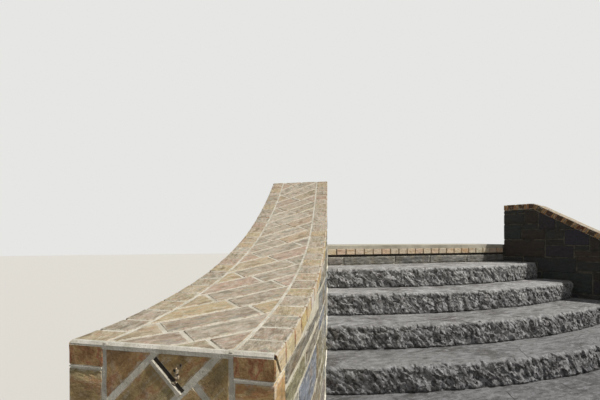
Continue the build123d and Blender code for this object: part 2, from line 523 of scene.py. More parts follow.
def clay(name, stops, tones, smear, drag, sides=None,
         flashes=(0.105, 0.050, 0.050), streak=(0.030, 0.011, 0.011)):
    """Extruded buff clay brick with a sanded face. Each brick fires to its own shade and
    flashes to others in patches of 50 to 160 mm. Smears of pale mortar lie over the faces
    and run in over the arrises, and the extruder left drag marks. Sand grit of 1 to 2 mm is
    drawn at 5 mm so that it shows. Where side shades are given, the upright faces are cleaner
    and take these shades, which are painted light, lighter for a sunlit side and darker for
    a shaded one, and the ends of the headers are darker and redder."""
    made, tree, shader = material(name)
    grain = node(tree, "Attribute", out=1, attribute_name="grain")
    tint = node(tree, "Attribute", out=2, attribute_name="tint")
    flash = cloud(tree, grain, flashes, 4.0, 0.60)
    shade = cloud(tree, grain, (0.055, 0.030, 0.030), 3.0, 0.5)
    wash = cloud(tree, grain, 0.034, 6.0, 0.66)
    ragged = cloud(tree, grain, 0.012, 4.0, 0.62)
    marks = cloud(tree, grain, streak, 4.0, 0.66)
    grit = cloud(tree, grain, 0.0055, 3.0, 0.7)

    fired = node(tree, "ValToRGB", {"Fac": tint}, stops=stops)
    flashed = node(tree, "ValToRGB", {"Fac": flash}, stops=tones)
    base = node(tree, "Mix", {0: 0.58, 6: fired, 7: flashed}, 2, data_type="RGBA")
    base = coats(tree, base, (shade, 0.47, 0.34, drag, "#6e5a42"))
    # Upright faces take the side shades, which are painted light: lighter for a sunlit side, darker
    # for a shaded one.
    if sides:
        normal = node(tree, "NewGeometry", out=1)
        up = node(tree, "SeparateXYZ", {"Vector": normal}, 2)
        facing = node(tree, "MapRange", {"Value": up, "From Min": 0.30, "From Max": 0.60})
        side = coats(tree, node(tree, "ValToRGB", {"Fac": tint}, stops=sides),
                     (shade, 0.48, 0.36, 0.30, "#6d5232"), (wash, 0.54, 0.66, 0.40, "#e6dccb"))
        base = node(tree, "Mix", {0: facing, 6: side, 7: base}, 2, data_type="RGBA")
    over = min(1.0, smear + 0.2)
    base = coats(tree, base, (wash, 0.53, 0.66, smear, "#ddd6c6"),
                 (run_over(tree, ragged, 0.0042), 0.0, 1.0, over, "#dad3c2"),
                 (marks, 0.44, 0.30, drag, "#64543d"), (marks, 0.57, 0.70, drag, "#e8e1cf"))
    if sides:
        end = coats(tree, node(tree, "ValToRGB", {"Fac": flash}, stops=END_CLAY),
                    (shade, 0.50, 0.36, 0.35, "#6a4a30"), (marks, 0.56, 0.70, 0.5, "#c9ab80"))
        at_end = on_header_end(tree, normal, facing)
        base = node(tree, "Mix", {0: at_end, 6: base, 7: end}, 2, data_type="RGBA")
    base = coats(tree, base, (grit, 0.42, 0.29, 0.55, "#51452f"))
    return finished(made, shader, base, 0.88, (shade, 6.0), (wash, 3.5), (marks, 4.0), (grit, 1.6))


def mortar(name, colour, dirt):
    """Lime and cement mortar struck nearly flush: pale, sandy, stained in blotches of
    about 80 mm, with sand grains of 2 mm drawn at 5 mm so that they show."""
    made, tree, shader = material(name)
    place = node(tree, "TexCoord", out=3)
    stain = cloud(tree, place, 0.075, 5.0, 0.66)
    sand = cloud(tree, place, 0.005, 3.0, 0.7)
    base = coats(tree, colour, (stain, 0.42, 0.60, 0.85, dirt), (sand, 0.44, 0.30, 0.5, "#5f594b"))
    return finished(made, shader, base, 0.92, (stain, 4.0), (sand, 1.4))


def split_stone(name, stops, wear, dark, mark):
    """Split sandstone and slate: each stone its own shade, with bedding streaks along it
    every 15 mm or so, a rough split face, rust in patches and dirt along the arrises. The
    surface is dull and dry."""
    made, tree, shader = material(name)
    grain = node(tree, "Attribute", out=1, attribute_name="grain")
    tint = node(tree, "Attribute", out=2, attribute_name="tint")
    streaks = cloud(tree, grain, (0.14, 0.030, 0.030), 5.0, 0.62)
    rust = cloud(tree, grain, 0.11, 4.0, 0.6)
    split = cloud(tree, grain, (0.050, 0.018, 0.018), 5.0, 0.66)
    ragged = cloud(tree, grain, 0.014, 3.0, 0.6)
    fine = cloud(tree, grain, 0.0075, 4.0, 0.7)
    base = coats(tree, node(tree, "ValToRGB", {"Fac": tint}, stops=stops),
                 (streaks, 0.52, 0.36, 0.55, dark), (rust, 0.53, 0.68, 0.50, wear),
                 (split, 0.47, 0.34, 0.75, dark), (split, 0.53, 0.66, 0.60, mark),
                 (run_over(tree, ragged, 0.0032), 0.0, 1.0, 0.5, dark),
                 (fine, 0.44, 0.30, 0.45, dark))
    return finished(made, shader, base, 0.82, (streaks, 8.0), (split, 8.0), (fine, 1.8))


def chips(tree, vector, size, turn):
    """Height of a surface split into flat chips of a size in metres each way, each with a
    slope of its own. The chips are turned about the way across the flight."""
    placed = node(tree, "Mapping", {"Vector": vector, "Rotation": (0, turn, 0), "Scale": size},
                  vector_type="TEXTURE")
    colour = node(tree, "TexVoronoi", {"Vector": placed, "Scale": 1.0}, 1)
    cell = colour.node.outputs["Position"]
    lean_of = node(tree, "VectorMath", {0: colour, 1: (0.5, 0.5, 0.5)}, operation="SUBTRACT")
    off = node(tree, "VectorMath", {0: placed, 1: cell}, operation="SUBTRACT")
    slope = node(tree, "VectorMath", {0: lean_of, 1: off}, 1, operation="DOT_PRODUCT")
    level = node(tree, "SeparateColor", {"Color": colour}, 1)
    return node(tree, "Math", {0: level, 1: 0.45, 2: slope}, operation="MULTIPLY_ADD")


# Hairline cracks in the treads, as (middle, half length, direction in degrees)
CRACKS = [((-0.208, -0.442, 0.525), 0.088, 57), ((-0.531, -0.625, 0.350), 0.062, 63),
          ((-0.060, -0.627, 0.350), 0.052, 72)]
CRACK_STRAY = 0.012


def cracked(tree, place):
    """1 along the cracks in the treads and 0 elsewhere."""
    stray = node(tree, "TexNoise", {"Vector": place, "Scale": 30.0, "Detail": 2.0}, 1)
    stray = node(tree, "VectorMath", {0: stray, 1: (CRACK_STRAY, CRACK_STRAY, 0.0)},
                 operation="MULTIPLY")
    moved = node(tree, "VectorMath", {0: place, 1: stray}, operation="ADD")
    found = 0.0
    for (x, y, z), half, degrees in CRACKS:
        local = node(tree, "Mapping",
                     {"Vector": moved, "Location": (x + CRACK_STRAY / 2, y + CRACK_STRAY / 2, z),
                      "Rotation": (0, 0, math.radians(degrees)), "Scale": (half, 0.0032, 0.03)},
                     vector_type="TEXTURE")
        size = node(tree, "VectorMath", {0: local}, operation="ABSOLUTE")
        along, across, up = node(tree, "SeparateXYZ", {"Vector": size}).node.outputs
        most = node(tree, "Math", {0: along, 1: across}, operation="MAXIMUM")
        most = node(tree, "Math", {0: most, 1: up}, operation="MAXIMUM")
        mask = node(tree, "MapRange", {"Value": most, "From Min": 1.0, "From Max": 0.6})
        found = node(tree, "Math", {0: found, 1: mask}, operation="MAXIMUM")
    return found


def pitched_front(tree, place, warped, height):
    """Colour and relief of the slabs' fronts, pitched like quarried rock. The colour carries painted
    shade in the chips' hollows and a painted shadow along each riser's foot, and painted highlights
    on the chips' ridges and under the nosing.
    """
    coarse = chips(tree, warped, (0.070, 0.05, 0.040), math.radians(44))
    fine = chips(tree, warped, (0.028, 0.03, 0.0140), math.radians(52))
    mottle = cloud(tree, place, 0.060, 4.0, 0.6)
    rise = node(tree, "Math", {0: height, 1: RISER}, operation="FLOORED_MODULO")
    # Dark on low chips and at the riser's foot is painted shade; pale on high chips and under the
    # nosing is painted highlight.
    base = coats(tree, "#b3b3b3", (mottle, 0.40, 0.62, 1.0, "#8f8c8a"),
                 (coarse, 0.14, -0.04, 0.65, "#474645"), (fine, 0.14, -0.02, 0.80, "#3d3c3b"),
                 (fine, 0.30, 0.46, 0.75, "#d6d6d5"), (rise, 0.020, 0.004, 0.75, "#2b2a28"),
                 (rise, RISER - 0.034, RISER - 0.012, 0.45, "#c9c9c8"))
    return base, node(tree, "Math", {0: fine, 1: 0.50, 2: coarse}, operation="MULTIPLY_ADD")


def slate_top(tree, place, warped, height, crack, face, dark, light):
    """Colour and relief of the slabs' tops, pressed from slate."""
    slate = cloud(tree, warped, (0.38, 0.115, 0.115), 6.0, 0.64)
    layers = node(tree, "Math", {0: slate, 1: 11.0}, operation="MULTIPLY")
    layer = node(tree, "Math", {0: layers}, operation="FLOOR")
    into = node(tree, "Math", {0: layers}, operation="FRACT")
    stain = cloud(tree, place, (0.34, 0.20, 0.20), 4.0, 0.62)
    worn = cloud(tree, warped, (0.080, 0.030, 0.030), 6.0, 0.70)
    edge = node(tree, "MapRange", {"Value": into, "From Min": 0.16, "From Max": 0.0})
    edge = node(tree, "Math", {0: edge, 1: worn}, operation="MULTIPLY")
    # The last coat makes the tops darker towards the bottom of the flight.
    base = coats(tree, face, (stain, 0.42, 0.58, 1.0, dark), (stain, 0.55, 0.68, 0.6, "#625d56"),
                 (worn, 0.47, 0.34, 0.90, "#585755"), (worn, 0.51, 0.62, 0.90, light),
                 (edge, 0.18, 0.52, 0.6, "#5b5a58"), (height, 0.86, 0.54, 0.26, "#3c3b3a"))
    relief = node(tree, "Math", {0: layer, 1: 0.15, 2: 0.0}, operation="MULTIPLY_ADD")
    relief = node(tree, "Math", {0: worn, 1: 0.5, 2: relief}, operation="MULTIPLY_ADD")
    return base, node(tree, "Math", {0: crack, 1: -1.0, 2: relief}, operation="MULTIPLY_ADD")


def rock_faced(name, face, dark, light):
    """Cast stone slab with a top pressed from slate: clefts 60 to 200 mm long run across
    it, 1 to 2 mm high, with weather stains of 150 to 400 mm. Its front is pitched like
    quarried rock, in slanting chips of 15 to 70 mm, with painted shade in the hollows and
    painted highlights on the ridges. The slabs are darker towards the bottom of the flight."""
    made, tree, shader = material(name)
    place = node(tree, "TexCoord", out=3)
    normal = node(tree, "NewGeometry", out=1)
    up = node(tree, "SeparateXYZ", {"Vector": normal}, 2)
    flat = node(tree, "MapRange", {"Value": up, "From Min": 0.60, "From Max": 0.97})
    height = node(tree, "SeparateXYZ", {"Vector": place}, 2)
    stray = node(tree, "TexNoise", {"Vector": place, "Scale": 26.0, "Detail": 3.0}, 1)
    stray = node(tree, "VectorMath", {0: stray, 1: (0.014, 0.014, 0.014)}, operation="MULTIPLY")
    warped = node(tree, "VectorMath", {0: place, 1: stray}, operation="ADD")
    crack = cracked(tree, place)
    rock, in_front = pitched_front(tree, place, warped, height)
    top, on_top = slate_top(tree, place, warped, height, crack, face, dark, light)

    speck = cloud(tree, place, 0.0045, 2.0, 0.6)
    base = node(tree, "Mix", {0: flat, 6: rock, 7: top}, 2, data_type="RGBA")
    base = coats(tree, base, (speck, 0.44, 0.30, 0.40, "#4a4949"),
                 (speck, 0.56, 0.72, 0.35, "#dcdcdc"), (crack, 0.0, 1.0, 0.85, "#23221f"))
    # The slabs get darker towards the bottom of the flight.
    darker_lower_down = coats(tree, "#c2c3c8", (height, 0.20, 1.04, 1.0, "#ffffff"))
    base = node(tree, "Mix", {0: 1.0, 6: base, 7: darker_lower_down}, 2,
                data_type="RGBA", blend_type="MULTIPLY")
    relief = node(tree, "Mix", {0: flat, 2: in_front, 3: on_top}, data_type="FLOAT")
    return finished(made, shader, base, 0.86, (relief, 15.0), (speck, 1.0))


def cast_concrete(name, colour, shade, size):
    """Plain cast concrete: pale grey cement skin with cloudy patches, pinholes of a few
    millimetres and a faint grain."""
    made, tree, shader = material(name)
    place = node(tree, "TexCoord", out=3)
    patch = cloud(tree, place, size, 5.0, 0.6)
    fine = cloud(tree, place, 0.0055, 3.0, 0.7)
    base = coats(tree, colour, (patch, 0.38, 0.64, 1.0, shade), (fine, 0.45, 0.72, 0.35, "#8f8c84"))
    pores = node(tree, "TexVoronoi", {"Vector": place, "Scale": 60.0})
    pitted = node(tree, "MapRange", {"Value": pores, "From Min": 0.05, "From Max": 0.16})
    return finished(made, shader, base, 0.9, (fine, 0.8), (pitted, 1.5))


def hexed(colour):
    """A colour property as a hex code."""
    return "#" + "".join(f"{round(255 * v):02x}" for v in colour)


def shade_property(name, description, code):
    """A colour property whose default is an sRGB hex code."""
    default = [int(code[n:n + 2], 16) / 255 for n in (1, 3, 5)]
    return FloatVectorProperty(name=name, description=description, subtype="COLOR_GAMMA",
                               size=3, min=0.0, max=1.0, default=default)


def size_property(name, description, default):
    """A length property in metres."""
    return FloatProperty(name=name, description=description, subtype="DISTANCE", unit="LENGTH",
                         min=0.0, default=default, precision=4)


class StepsSizes(bpy.types.PropertyGroup):
    """Sizes of the bricks, stones and joints."""
    joint: size_property("Joint", "Mortar joint between the bricks of a cap", 0.0085)
    end_joint: size_property("End joint", "Mortar joint between the bricks of a wall's end", 0.012)
    field_brick: size_property("Field brick", "Length of a brick in the diagonal field", 0.290)
    field_course: size_property("Field course", "Width of a diagonal course with its joint", 0.112)
    border_course: size_property(
        "Border course", "Length of cap border taken up by a brick and its joint", 0.1036)
    mortar_set_back: size_property(
        "Mortar set-back", "How far the mortar lies behind the bricks", 0.0034)
    left_set_back: size_property(
        "Left joint depth", "How far the mortar lies inside the left wall's faces", 0.0050)
    right_set_back: size_property(
        "Right joint depth", "How far the mortar lies inside the right wall's faces", 0.0085)
    rock_relief: size_property(
        "Rock relief", "Height of the rock face on the fronts of the slabs", 0.022)
    seed: IntProperty(
        name="Seed", description="Changes which brick and stone gets which shade", default=7)


class StepsColours(bpy.types.PropertyGroup):
    """Colours of the finishes."""
    mortar: shade_property("Mortar", "Mortar between the bricks of the cap", "#e0dacb")
    slab: shade_property("Slab", "Weathered face of the slabs", "#b4b3b1")
    slab_dark: shade_property("Slab stain", "Damp and dirty patches on the slabs", "#8d8b89")
    landing: shade_property("Landing", "Landing slab", "#d3cdbc")
    concrete: shade_property("Concrete", "Cast concrete that is normally hidden", "#a29e94")
    floor: shade_property("Floor", "Studio floor", "#e2e0db")


# Shades of the bricks and stones, from one end of each blend to the other
CAP_CLAY = [(0.0, "#bcb3a0"), (0.14, "#9d9482"), (0.28, "#cfc8b8"), (0.42, "#8f897a"),
            (0.56, "#c09f90"), (0.68, "#c8b27c"), (0.80, "#8b8c82"), (0.90, "#cab88c"),
            (1.0, "#ad8f7e")]
CAP_TONES = [(0.34, "#7c7565"), (0.42, "#ab9a82"), (0.48, "#cbc3b0"), (0.53, "#c2a08c"),
             (0.58, "#c4ba9c"), (0.64, "#9c9f96"), (0.70, "#b0938a")]
# The caps' upright faces are one blend in two copies of painted light: painted sunlight makes the
# left cap's sides lighter, painted shade makes the right cap's sides darker.
LEFT_SIDES_PAINTED_SUNLIT = [(0.0, "#d8bc7c"), (0.14, "#e2d0b4"), (0.28, "#cfa484"), (0.42, "#e2d8a8"),
              (0.56, "#cba592"), (0.70, "#e0d8cc"), (0.85, "#cfc07c"), (1.0, "#d6b084")]
RIGHT_SIDES_PAINTED_SHADE = [(0.0, "#583b27"), (0.14, "#604c2f"), (0.28, "#6a3b22"), (0.42, "#534535"),
               (0.56, "#4c2e21"), (0.70, "#605239"), (0.85, "#553528"), (1.0, "#6c4827")]
END_CLAY = [(0.36, "#a57a50"), (0.46, "#c8a674"), (0.54, "#b47454"), (0.64, "#d8bc8a")]
SIDE_CLAY = [(0.0, "#dcc08c"), (0.2, "#b39c6c"), (0.4, "#c88a62"), (0.6, "#bcb084"),
             (0.8, "#e2b980"), (1.0, "#ab7450")]
SIDE_TONES = [(0.34, "#63502f"), (0.41, "#9a7444"), (0.47, "#c9a870"), (0.52, "#b8724c"),
              (0.57, "#dcc494"), (0.62, "#a09060"), (0.70, "#ecd4a8")]
COURSE_CLAY = [(0.0, "#e8d9ac"), (0.2, "#d99c6c"), (0.4, "#efd0ac"), (0.6, "#c6cab2"),
               (0.8, "#dfae94"), (1.0, "#dedcc8")]
COURSE_TONES = [(0.36, "#c4a47c"), (0.5, "#ecdfc6"), (0.66, "#dcc4a4")]
LEFT_STONE = [(0.0, "#a89a86"), (0.05, "#a3a398"), (0.20, "#8d94a0"), (0.40, "#9a9474"),
              (0.60, "#968c78"), (0.70, "#8c877a"), (0.85, "#a39a88"), (0.94, "#8fa0a2"),
              (1.0, "#a58e7c")]
# The right wall's stones are a darker copy of the stone colours, painted shade for the deep shade
# that wall stands in.
RIGHT_STONE_PAINTED_SHADE = [(0.0, "#333633"), (0.10, "#363936"), (0.30, "#373028"), (0.50, "#2b3431"),
               (0.70, "#343036"), (0.90, "#35323d"), (0.96, "#4a3e32"), (1.0, "#403730")]
BAND_STONE = [(0.0, "#8a8983"), (0.3, "#777773"), (0.6, "#989489"), (0.85, "#7f7d78"),
              (1.0, "#8a837c")]


class Masonry:
    """The finishes, made once and shared by the operators."""
    finishes = {}

    @classmethod
    def get(cls, name):
        """A finish by name."""
        colours = bpy.context.scene.steps_colours
        # The end bricks' flashes and drag marks are larger than those of the caps
        side_patches = (0.16, 0.085, 0.085), (0.065, 0.016, 0.016)
        makers = {
            # The two caps' clays differ only in their sides' painted sunlight and painted shade.
            "left_cap_clay": (clay, CAP_CLAY, CAP_TONES, 0.50, 0.50, LEFT_SIDES_PAINTED_SUNLIT),
            "right_cap_clay": (clay, CAP_CLAY, CAP_TONES, 0.50, 0.50, RIGHT_SIDES_PAINTED_SHADE),
            "side_clay": (clay, SIDE_CLAY, SIDE_TONES, 0.30, 0.42, None, *side_patches),
            "course_clay": (clay, COURSE_CLAY, COURSE_TONES, 0.25, 0.30),
            "cap_mortar": (mortar, hexed(colours.mortar), "#c2bba8"),
            "joint_mortar": (mortar, "#e4e0d4", "#bfbaa9"),
            "end_mortar": (mortar, "#f6f2e4", "#dad5c2"),
            "left_mortar": (mortar, "#e0d9c5", "#b9b29b"),
            # Darker copy of the left wall's mortar, painted shade on the right wall.
            "right_mortar": (mortar, "#716c60", "#2c2a26"),
            # Dark mortar, painted shade: it stands for the shade deep in the raked joints of the
            # landing's course, in the crack of a corner brick, in the open joint and in the spalled
            # hollows.
            "course_mortar": (mortar, "#3a342d", "#26221e"),
            "left_stone": (split_stone, LEFT_STONE, "#a88a5c", "#4a443a", "#dcd8ce"),
            # Darker copy of the stone finish, painted shade on the right wall.
            "right_stone": (split_stone, RIGHT_STONE_PAINTED_SHADE, "#42352a", "#211f1d", "#464440"),
            "band_stone": (split_stone, BAND_STONE, "#94876f", "#4a4843", "#b4b1a8"),
            "slab_stone": (rock_faced, hexed(colours.slab), hexed(colours.slab_dark), "#d0d0d0"),
            "landing_concrete": (cast_concrete, hexed(colours.landing), "#aaa493", 0.20),
            "core_concrete": (cast_concrete, hexed(colours.concrete), "#8e8a80", 0.33),
        }
        if name not in cls.finishes:
            maker, *values = makers[name]
            cls.finishes[name] = maker(name, *values)
        return cls.finishes[name]


# Pieces

def split_header(place, blanks, rng):
    """Halves of a corner brick that is cracked through, from its top corner down and back."""
    down = np.array((0.050, 0.0, -0.064))
    across = np.array((0.064, 0.0, 0.050)) / np.hypot(0.064, 0.050)
    half_gap = 0.0055
    halves = []
    for way in (1, -1):
        half = lay("half_brick", blanks, [place], rng)
        point, normal = down * 0.1 + way * half_gap * across, -way * across
        cut(half, [(tuple(point), tuple(normal))], fill=True)
        halves.append(half)
    return halves


def crack_painted_shade(side, place, blanks, rng):
    """A dark block deep in the crack of a corner brick: painted shade in the crack."""
    blanks["heart"] = blank("heart", (0.086, 0.092, 0.054), 0.002, 0.1)
    inside = place @ Matrix.Translation((0.001, 0, 0.001))
    heart = lay(f"{side}_crack", blanks, [("heart", inside, 0.5)], rng)
    cut(heart, [((0.018, 0, 0), (-0.8, 0, 1))], fill=True)
    settle(heart, on_cap, side)
    finish_piece(heart, "course_mortar")


def cap_bricks(side, sizes):
    """Bricks of a cap: one header after another along each edge and diagonal courses between."""
    rng = random.Random(sizes.seed + (side == "left"))
    length = cap_length(side) + BRICKS_BEHIND
    deep = CAP_THICKNESS - BEHIND_BRICK
    joint = sizes.joint
    header = (sizes.border_course - joint, BORDER - joint / 2, deep)
    diagonal = (sizes.field_brick, sizes.field_course - joint, deep)
    blanks = {
        "header": blank("header", header, BRICK_ARRIS, HEADER_CELL),
        "diagonal": blank("diagonal", diagonal, BRICK_ARRIS, FIELD_CELL),
    }

    def jitter():
        sunk = Matrix.Translation((0, 0, rng.uniform(-0.0014, 0.0)))
        return lean(rng, sunk, X=0.010, Y=0.006, Z=0.006)

    made = []
    for name, offset in (("inner", header[1] / 2), ("outer", WALL_WIDTH - header[1] / 2)):
        places = []
        up = header[0] / 2
        while up < length:
            place = Matrix.Translation((up, offset, -deep / 2)) @ jitter()
            places.append(("header", place, rng.random()))
            up += sizes.border_course
        split = places.pop(0) if (side, name) == ("left", "inner") else None
        bricks = lay(f"{side}_cap_{name}_border_bricks", blanks, places, rng)
        if split:
            bricks = joined(bricks.name, [bricks, *split_header(split, blanks, rng)])
            crack_painted_shade(side, split[1], blanks, rng)
        made.append((bricks, f"cap_{name}_border"))

    # A course runs outwards and towards the wall's end. Its sum of distance up the cap and
    # offset stays the same
    places = []
    across = sizes.field_course * math.sqrt(2)
    pitch = (sizes.field_brick + joint) / math.sqrt(2)
    turn = Matrix.Rotation(math.radians(135), 4, "Z")
    course = 0
    while FIELD_START + (course - 1) * across < length + WALL_WIDTH:
        total = FIELD_START + (course - 0.5) * across
        start = FIELD_MIDDLE if course % 2 else FIELD_MIDDLE + pitch / 2
        for number in (-2, -1, 0, 1):
            offset = start + (number + 0.5) * pitch
            if -pitch < offset < WALL_WIDTH + pitch * 0.6:
                place = Matrix.Translation((total - offset, offset, -deep / 2)) @ turn @ jitter()
                places.append(("diagonal", place, rng.random()))
        course += 1
    field = lay(f"{side}_cap_field_bricks", blanks, places, rng)
    edges = BORDER + joint / 2, WALL_WIDTH - BORDER - joint / 2
    cut(field, [((0, edges[0], 0), (0, -1, 0)), ((0, edges[1], 0), (0, 1, 0))], fill=True)
    made.append((field, "cap_field"))
    drop(blanks)
    for bricks, replaced in made:
        # Cut back for the strip of mortar along the end's arris. The field is mitred
        # there to the bricks of the end
        mitre = (-1, 0, -1) if replaced == "cap_field" else (-0.8, 0, 1)
        cut(bricks, [((0.014, 0, 0), mitre), ((0.0005, 0, 0), (-1, 0, 0))], fill=True)
        roughen(bricks, "CLOUDS", 0.024, 0.0034, 0.60)
        settle(bricks, on_cap, side)
        finish_piece(bricks, f"{side}_cap_clay", "cap_brick", f"{side}_{replaced}")


def cap_bed(side, sizes):
    """Mortar under and between the bricks of a cap, with the paler joints along its borders,
    the strip along the arris of its end and the joints under its corner bricks."""
    far = cap_length(side) + MORTAR_BEHIND
    slices = 90
    under = WALL_END_TOP - CAP_THICKNESS
    half_joint = 0.0041
    made = bed(f"{side}_cap_mortar", side, (0.0, far), (0.011, WALL_WIDTH - 0.011),
               -CAP_THICKNESS, -sizes.mortar_set_back, on_cap, slices,
               [((0.006, 0, 0), (-1, 0, -1))])
    finish_piece(made, "cap_mortar")
    joints = []
    for name, offset in (("inner", BORDER), ("outer", WALL_WIDTH - BORDER)):
        joints.append(bed(f"{side}_cap_{name}_joint", side, (0.002, far),
                          (offset - half_joint, offset + half_joint), -0.012, -0.0018,
                          on_cap, slices, [((0.0, 0, 0), (-1, 0, -1))]))
    for name, near, off in (("inner", 0.004, BORDER - 0.008),
                            ("outer", WALL_WIDTH - BORDER + 0.008, WALL_WIDTH - 0.004)):
        joints.append(bed(f"{side}_corner_{name}_lip", side, (near, off),
                          (under - 0.0012, under + 0.0022), -0.012, -0.0004, on_end, 6))
    joints.append(bed(f"{side}_cap_end_joint", side, (0.0012, 0.0155),
                      (0.006, WALL_WIDTH - 0.006), -0.0165, -0.0002, on_cap, 2,
                      [((0.0012, 0, -0.0062), (-1, 0, 1))]))
    for made in joints:
        finish_piece(made, "joint_mortar")


def end_bricks(side, sizes):
    """Bricks of a wall's outer end: a pier at each corner and a diagonal panel between."""
    rng = random.Random(sizes.seed + 20 + (side == "left"))
    joint = sizes.end_joint
    courses = 10
    course = (WALL_END_TOP - CAP_THICKNESS) / courses
    wide = BORDER - joint / 2
    thick = END_DEPTH - BEHIND_BRICK
    diagonal = (sizes.field_brick, sizes.field_course - joint, thick)
    blanks = {
        "pier": blank("pier", (wide, course - joint, thick), BRICK_ARRIS, HEADER_CELL),
        "diagonal": blank("diagonal", diagonal, BRICK_ARRIS, FIELD_CELL),
    }
    deep = -thick / 2
    relief = ("CLOUDS", 0.026, 0.005, 0.60)

    def jitter():
        sunk = Matrix.Translation((0, 0, rng.uniform(-0.0022, 0.0)))
        return lean(rng, sunk, X=0.010, Y=0.010)

    for name, offset in (("inner", wide / 2), ("outer", WALL_WIDTH - wide / 2)):
        places = []
        for number in range(courses):
            height = (number + 0.5) * course + joint / 2 - 0.004
            place = Matrix.Translation((offset, height, deep)) @ jitter()
            places.append(("pier", place, rng.random()))
        pier = lay(f"{side}_end_{name}_pier_bricks", blanks, places, rng)
        roughen(pier, *relief)
        cut(pier, ABOVE_GROUND, fill=True)
        settle(pier, on_end, side)
        finish_piece(pier, "side_clay", "end_brick", f"{side}_end_{name}_pier")

    # The courses carry on from the cap: outwards and down. Offset less depth below the top
    # stays the same
    places = []
    across = sizes.field_course * math.sqrt(2)
    pitch = (sizes.field_brick + joint) / math.sqrt(2)
    turn = Matrix.Rotation(math.radians(-45), 4, "Z")
    for number in range(-9, 5):
        total = FIELD_START + (number + 0.5) * across
        start = FIELD_MIDDLE if number % 2 or number == 0 else FIELD_MIDDLE + pitch / 2
        for step in range(-3, 3):
            offset = start + (step + 0.5) * pitch
            below = offset - total
            if -0.12 < below < WALL_END_TOP + 0.12 and -0.05 < offset < WALL_WIDTH + 0.05:
                place = Matrix.Translation((offset, WALL_END_TOP - below, deep)) @ turn @ jitter()
                places.append(("diagonal", place, rng.random()))
    panel = lay(f"{side}_end_panel_bricks", blanks, places, rng)
    edges = BORDER + joint / 2, WALL_WIDTH - BORDER - joint / 2
    cut(panel, [((edges[0], 0, 0), (-1, 0, 0)), ((edges[1], 0, 0), (1, 0, 0)),
                ((0, WALL_END_TOP - 0.0150, 0), (0, 1, -1))], fill=True)
    roughen(panel, *relief)
    cut(panel, ABOVE_GROUND, fill=True)
    if side == "left":
        sink(panel, OPEN_JOINT, (-0.052, 0.0), (0.052, 0.0130), 0.006)
    settle(panel, on_end, side)
    finish_piece(panel, "side_clay", "end_brick", f"{side}_end_panel")
    drop(blanks)
    if side == "left":
        damage(rng)


def sink(obj, place, low, high, depth):
    """Sinks a rectangle of a flat layout to a depth, between cuts along its edges. low and
    high are its corners in a place of its own."""
    wall = 0.0006
    planes = []
    for axis in (0, 1):
        for level in (low[axis], low[axis] + wall, high[axis] - wall, high[axis]):
            point, normal = Vector((0, 0, 0)), Vector((0, 0, 0))
            point[axis], normal[axis] = level, 1.0
            planes.append((tuple(place @ point), tuple(place.to_3x3() @ normal)))
    cut(obj, planes)
    co = corners(obj)
    local = (co - np.array(place.translation)) @ np.array(place.to_3x3())
    inside = local[:, 2] > -depth
    for axis in (0, 1):
        inside &= (local[:, axis] > low[axis] + wall / 2) & (local[:, axis] < high[axis] - wall / 2)
    co[inside, 2] = -depth + co[inside, 2] / 6
    set_corners(obj, co)


# The middle and lie of the open joint in the left panel
OPEN_JOINT = (Matrix.Translation((0.266, WALL_END_TOP - 0.070, 0.0))
              @ Matrix.Rotation(math.radians(45), 4, "Z"))
# The middle of the spalled patch, its half sizes and how far it leans over
SPALL = (0.2400, WALL_END_TOP - 0.064)
SPALL_SIZE = (0.0095, 0.026)
SPALL_LEAN = -0.28


def spall_pieces(name, count, depth, shapes, rng):
    """Small broken pieces strewn over the spalled patch."""
    places = []
    for _ in range(count):
        out, turn = math.sqrt(rng.random()), rng.uniform(0, 2 * math.pi)
        u, v = SPALL_SIZE[0] * out * math.cos(turn), SPALL_SIZE[1] * out * math.sin(turn)
        size = rng.uniform(0.45, 1.15)
        place = Matrix.Translation((SPALL[0] + u + SPALL_LEAN * v, SPALL[1] + v, depth))
        place = lean(rng, place @ Matrix.Rotation(rng.uniform(0, math.pi), 4, "Z"), Y=0.2)
        place = place @ Matrix.Diagonal((size, size * rng.uniform(0.7, 1.3), 1, 1))
        places.append(("flake", place, rng.random()))
    made = lay("left_spall_" + name, shapes, places, rng)
    roughen(made, "CLOUDS", 0.006, 0.0025)
    return made


def damage(rng):
    """The open joint in the left panel, with the mortar loose beside it, and the spalled
    patch on the brick next to it. The dark slot in the open joint and the dark pieces in the
    spalled hollows are painted shade."""
    shapes = {
        "slot": blank("slot", (0.106, 0.0115, 0.006), 0.001, 0.02),
        "strip": blank("strip", (0.108, 0.0125, 0.014), 0.0020, 0.010),
        "flake": blank("flake", (0.010, 0.006, 0.006), 0.0014, 0.1),
    }
    beside = OPEN_JOINT @ Matrix.Translation((0, 0.0068, -0.0060))
    within = OPEN_JOINT @ Matrix.Translation((0, -0.0052, -0.0066))
    # Dark slot beside the loose mortar: painted shade in the open joint.
    slot = lay("left_open_joint", shapes, [("slot", beside, 0.5)], rng)
    strip = lay("left_loose_mortar", shapes, [("strip", within, 0.5)], rng)
    roughen(strip, "CLOUDS", 0.010, 0.0022)
    flakes = spall_pieces("flakes", 12, -0.0032, shapes, rng)
    painted_shade_hollows = spall_pieces("painted_shade_hollows", 8, -0.0036, shapes, rng)
    drop(shapes)
    for piece, finish in ((slot, "course_mortar"), (strip, "cap_mortar"), (flakes, "side_clay"),
                          (painted_shade_hollows, "course_mortar")):
        settle(piece, on_end, "left")
        finish_piece(piece, finish)


